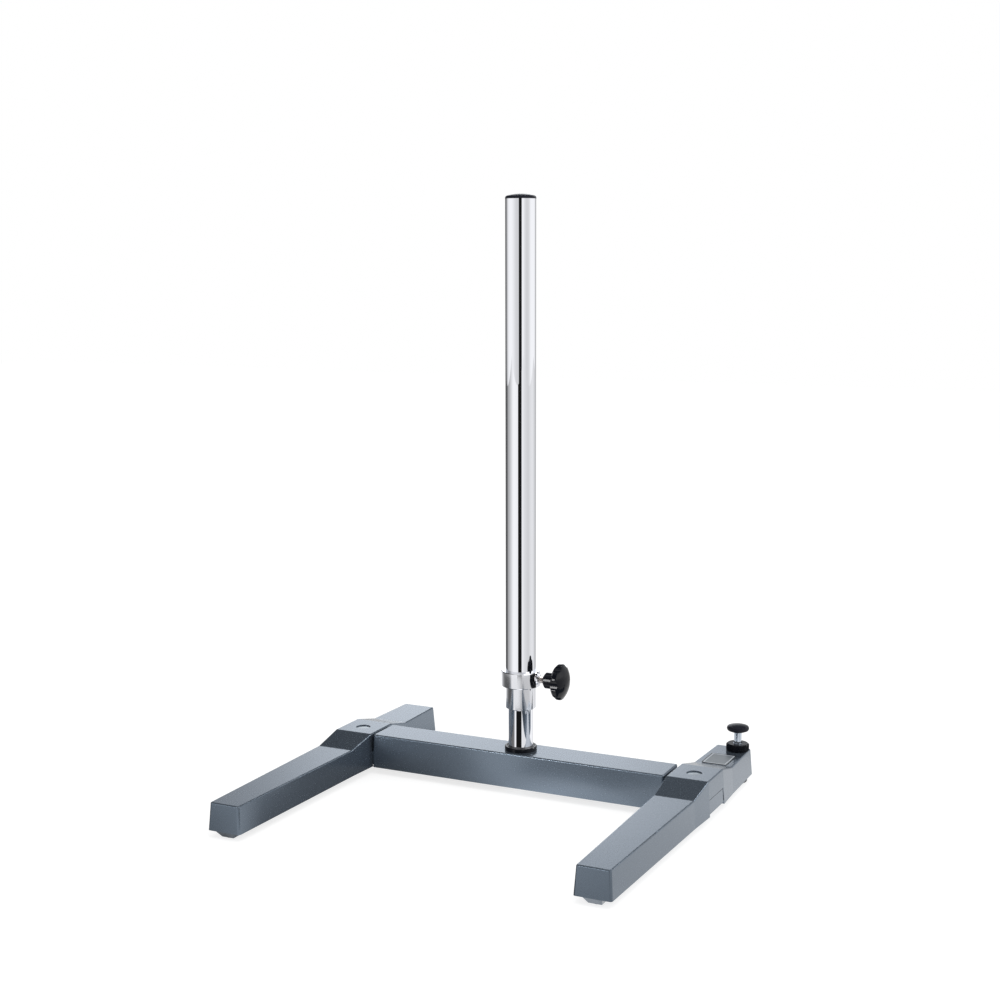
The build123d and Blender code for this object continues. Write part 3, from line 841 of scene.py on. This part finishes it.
def degrees_stops(*pairs):
    """Stops of a ramp from (degrees to the right of the camera's side, grey) pairs."""
    return [(angle / 360 + 0.5, grey) for angle, grey in pairs]


# What the chrome mirrors, as greys. Those "round" go by the direction round the column.
HORIZON_ROUND = degrees_stops(
    (-180, 1.0), (-174, 1.0), (-164, 0.06), (-132, 0.20), (-122, 0.48), (-112, 0.75),
    (-100, 0.97), (-75, 1.0), (-58, 0.92), (-42, 0.78), (-30, 0.70), (-16, 0.69), (-13, 0.01),
    (6, 0.01), (9, 0.98), (18, 1.0), (25, 0.86), (33, 0.77), (45, 0.69), (60, 0.74), (66, 0.79),
    (74, 0.94), (84, 1.0), (112, 1.0), (122, 0.9), (136, 0.52), (155, 0.5), (168, 1.0),
    (180, 1.0),
)
UPPER_ROUND = degrees_stops(
    (-180, 0.6), (-140, 0.3), (-95, 0.3), (-70, 0.8), (-35, 0.8), (0, 0.5), (35, 0.8),
    (50, 1.9), (85, 1.9), (110, 1.0), (140, 0.7), (180, 0.6),
)
# UNDER, NEAR, MID and FAR are drawn on the floor, which glows with them to gloss rays: painted
# reflections of dark bands and of the legs, a painted pool of light under the column and painted
# shade beside the legs.
UNDER_ROUND = degrees_stops(
    (-180, 0.3), (-100, 0.15), (-79, 0.2), (-66, 0.55), (-45, 1.0), (-20, 1.3), (0, 1.55),
    (24, 1.2), (80, 0.8), (180, 0.5),
)
NEAR_ROUND = degrees_stops(
    (-180, 1.0), (-165, 0.9), (-150, 0.4), (-135, 0.15), (-100, 0.12), (-80, 0.15), (-62, 0.22),
    (-56, 1.0), (-46, 1.0), (-40.5, 0.01), (5, 0.01), (8, 0.9), (25, 0.82), (50, 0.87),
    (80, 1.0), (110, 1.0), (150, 0.8), (165, 1.0), (180, 1.0),
)
MID_ROUND = degrees_stops(
    (-180, 1.0), (-146, 0.9), (-135, 0.5), (-115, 0.2), (-100, 0.10), (-72, 0.10), (-62, 0.32),
    (-54, 0.85), (-45, 0.85), (-24, 0.85), (-12, 0.78), (0, 0.6), (8, 0.5), (30, 0.58),
    (60, 0.6), (85, 0.8), (120, 0.8), (140, 0.7), (165, 1.0), (180, 1.0),
)
FAR_ROUND = degrees_stops(
    (-180, 1.0), (-172, 1.0), (-162, 0.06), (-121, 0.14), (-110, 0.42), (-95, 0.52),
    (-85, 0.63), (-75, 0.76), (-66, 0.92), (-56, 1.0), (-41, 1.0), (-34, 0.95), (-22, 1.0),
    (-19.5, 0.01), (5, 0.01), (7.5, 0.95), (18, 0.9), (26, 0.81), (41, 0.74), (58, 0.69),
    (75, 0.8), (95, 0.86), (107, 0.81), (120, 0.69), (138, 0.49), (155, 0.5), (168, 1.0),
    (180, 1.0),
)
CEILING_BY_RISE = ((0.0, 1.0), (0.32, 1.0), (0.44, 0.12), (0.74, 0.07), (0.86, 0.8), (1.0, 1.0))
WALL_BY_RISE = ((0.0, 1.0), (0.32, 1.0), (0.42, 0.15), (0.5, 0.04))
WALL_ACROSS = ((0.28, 0.30), (0.345, 0.5), (0.40, 1.0), (0.56, 1.0), (0.62, 0.64), (0.70, 0.48))
WALL_TINT = (0.96, 1.0, 1.05)
FLOOR_ZONES = (  # where each zone of the floor begins and is full, in metres from the column
    (0.14, 0.16, NEAR_ROUND), (0.35, 0.36, MID_ROUND), (0.545, 0.565, FAR_ROUND),
)
FLOOR_LIT, FLOOR_SEEN, FLOOR_GLOW = 0.82, 0.40, 0.76


class STAND_OT_studio(bpy.types.Operator):
    """Sets up the pale floor, the white studio, the soft light and the camera"""

    bl_idname = "stand.studio"
    bl_label = "Studio"

    def execute(self, context):
        scene = context.scene
        studio = scene.stand_studio
        scene.view_settings.view_transform = "Standard"
        front, right = towards_camera(studio)
        up = Vector((0, 0, 1))
        self.sky(scene, studio, front, right)
        self.floor(studio, front, right)
        aim = 0.1 * up  # just above the base
        softbox("key_softbox", studio.key_power, (1.8, 1.8), (0.5, -0.3, 2.2), aim)
        softbox("fill_softbox", studio.fill_power, (1.2, 1.2), (2.2, 0.4, 1.0), aim)
        castings = ("crossbar", "left_leg", "right_leg")
        for name, power, size, turn, rise, only in (
            ("grip_strip", studio.strip_power, (0.3, 1.2), -50, 14, ("star_grip",)),
            ("front_strip", studio.front_power, (0.3, 0.5), -48, 6, castings),
            ("rim_strip", studio.rim_power, (0.5, 0.5), 120, 32, ()),
        ):
            turn, rise = math.radians(turn), math.radians(rise)
            level = math.cos(turn) * front + math.sin(turn) * right
            place = math.cos(rise) * level + math.sin(rise) * up
            place = studio.lamp_distance * place + aim
            softbox(name, power, size, place, aim, mirrored=True, only=only)
        self.camera(scene, studio)
        return {"FINISHED"}

    def sky(self, scene, studio, front, right):
        """White to the camera, softboxes with a dark gap to gloss, and even light elsewhere."""
        world = bpy.data.worlds.new("studio_sky")
        scene.world = world
        world.use_nodes = True
        tree = world.node_tree
        direction = add(tree, "ShaderNodeTexCoord").outputs["Generated"]
        ahead, aside = along(tree, direction, front), along(tree, direction, right)
        rise = add(tree, "ShaderNodeSeparateXYZ", {0: direction}).outputs[2]
        behind = remap(tree, ahead, start=-0.35, end=-0.75)
        above = remap(tree, rise, start=0.06, end=0.14)
        low_wall = ramp(tree, rise, WALL_BY_RISE)
        wide_wall = ramp(tree, calc(tree, "ADD", aside, 0.5), WALL_ACROSS)
        wall = blend(tree, 1.0, low_wall, wide_wall, "MULTIPLY")
        wall = blend(tree, 1.0, wall, opaque(WALL_TINT, studio.back_wall), "MULTIPLY")
        upper = azimuth_ramp(tree, ahead, aside, UPPER_ROUND)
        raised = blend(tree, 1.0, upper, ramp(tree, rise, CEILING_BY_RISE), "MULTIPLY")
        room = blend(tree, above, azimuth_ramp(tree, ahead, aside, HORIZON_ROUND), raised)
        gloss = blend(tree, calc(tree, "MULTIPLY", behind, above), room, wall)
        path = add(tree, "ShaderNodeLightPath").outputs
        mirrored = calc(tree, "MAXIMUM", path["Is Glossy Ray"], path["Is Transmission Ray"])
        even = ramp(tree, rise, [(0.0, studio.sky), (0.3, studio.sky), (1.0, studio.sky * 0.5)])
        lit = blend(tree, mirrored, even, gloss)
        shown = blend(tree, path["Is Camera Ray"], lit, grey(1.0))
        tree.links.new(shown, tree.nodes["Background"].inputs["Color"])

    def floor(self, studio, front, right):
        """A pale plane under the stand that keeps its shadow; to gloss rays it glows with painted
        reflections, painted light and painted shade.
        """
        half = studio.floor_size / 2
        corners = [(-half, -half, 0), (half, -half, 0), (half, half, 0), (-half, half, 0)]
        floor = mesh_object("floor", corners, [(0, 1, 2, 3)])
        material = bpy.data.materials.new("pale_floor")
        material.use_nodes = True
        tree = material.node_tree
        tree.nodes.clear()
        place = add(tree, "ShaderNodeTexCoord").outputs["Object"]
        from_column = add(
            tree, "ShaderNodeVectorMath", {0: place, 1: COLUMN_AXIS}, operation="SUBTRACT"
        ).outputs[0]
        ahead, aside = along(tree, from_column, front), along(tree, from_column, right)
        flat = add(
            tree, "ShaderNodeVectorMath", {0: from_column, 1: (1, 1, 0)}, operation="MULTIPLY"
        ).outputs[0]
        reach = add(tree, "ShaderNodeVectorMath", {0: flat}, operation="LENGTH").outputs["Value"]
        # To gloss rays the floor is not lit but glows with this painted picture: dark bands,
        # painted light under the column, painted shade beside the legs.
        painted_reflections = azimuth_ramp(tree, ahead, aside, UNDER_ROUND)
        for start, end, stops in FLOOR_ZONES:
            zone = azimuth_ramp(tree, ahead, aside, stops)
            painted_reflections = blend(tree, remap(tree, reach, start, end), painted_reflections, zone)
        path = add(tree, "ShaderNodeLightPath").outputs
        seen = blend(tree, path["Is Camera Ray"], grey(FLOOR_LIT), grey(FLOOR_SEEN))
        matt = add(tree, "ShaderNodeBsdfDiffuse", {"Color": seen}).outputs[0]
        glow = add(tree, "ShaderNodeEmission", {"Strength": FLOOR_GLOW}).outputs[0]
        lifted = add(tree, "ShaderNodeAddShader", {0: matt, 1: glow}).outputs[0]
        # Painted reflection: the floor's picture glows for gloss rays only.
        reflection_glow = add(tree, "ShaderNodeEmission", {"Color": painted_reflections}).outputs[0]
        matt = add(
            tree, "ShaderNodeMixShader", {0: path["Is Glossy Ray"], 1: matt, 2: reflection_glow}
        ).outputs[0]
        mixed = add(
            tree, "ShaderNodeMixShader", {0: path["Is Camera Ray"], 1: matt, 2: lifted}
        ).outputs[0]
        add(tree, "ShaderNodeOutputMaterial", {"Surface": mixed})
        floor.data.materials.append(material)

    def camera(self, scene, studio):
        """A camera at the picture's viewing angle."""
        camera = bpy.data.objects.new("camera", bpy.data.cameras.new("camera"))
        camera.data.lens = studio.camera_lens
        camera.matrix_world = (
            Matrix.Translation(studio.camera_place)
            @ Matrix.Rotation(studio.camera_turn, 4, "Z")
            @ Matrix.Rotation(math.pi / 2 - studio.camera_tilt, 4, "X")
            @ Matrix.Rotation(studio.camera_roll, 4, "Z")
        )
        scene.collection.objects.link(camera)
        scene.camera = camera


OPERATORS = (
    STAND_OT_castings,
    STAND_OT_bolt_covers,
    STAND_OT_tongue_seams,
    STAND_OT_column,
    STAND_OT_black_parts,
    STAND_OT_fasteners,
    STAND_OT_clamp_thread,
    STAND_OT_level_thread,
    STAND_OT_level_foot,
    STAND_OT_lock_nut,
    STAND_OT_arm_plate,
    STAND_OT_studio,
)


class STAND_PT_panel(bpy.types.Panel):
    """The stand's operators in the sidebar of the 3D view"""

    bl_idname = "STAND_PT_panel"
    bl_label = "Laboratory stand"
    bl_space_type = "VIEW_3D"
    bl_region_type = "UI"
    bl_category = "Stand"

    def draw(self, context):
        for operator in OPERATORS:
            self.layout.operator(operator.bl_idname)


GROUPS = {
    "stand_finish": StandFinish,
    "stand_sizes": StandSizes,
    "stand_studio": StandStudio,
}


def register():
    for name, group in GROUPS.items():
        bpy.utils.register_class(group)
        setattr(bpy.types.Scene, name, PointerProperty(type=group))
    for part in (*OPERATORS, STAND_PT_panel):
        bpy.utils.register_class(part)


def unregister():
    for part in reversed((*OPERATORS, STAND_PT_panel)):
        bpy.utils.unregister_class(part)
    for name, group in reversed(GROUPS.items()):
        delattr(bpy.types.Scene, name)
        bpy.utils.unregister_class(group)


def main():
    """Builds everything."""
    register()
    for operator in OPERATORS:
        family, name = operator.bl_idname.split(".")
        getattr(getattr(bpy.ops, family), name)()


if __name__ == "__main__":
    main()
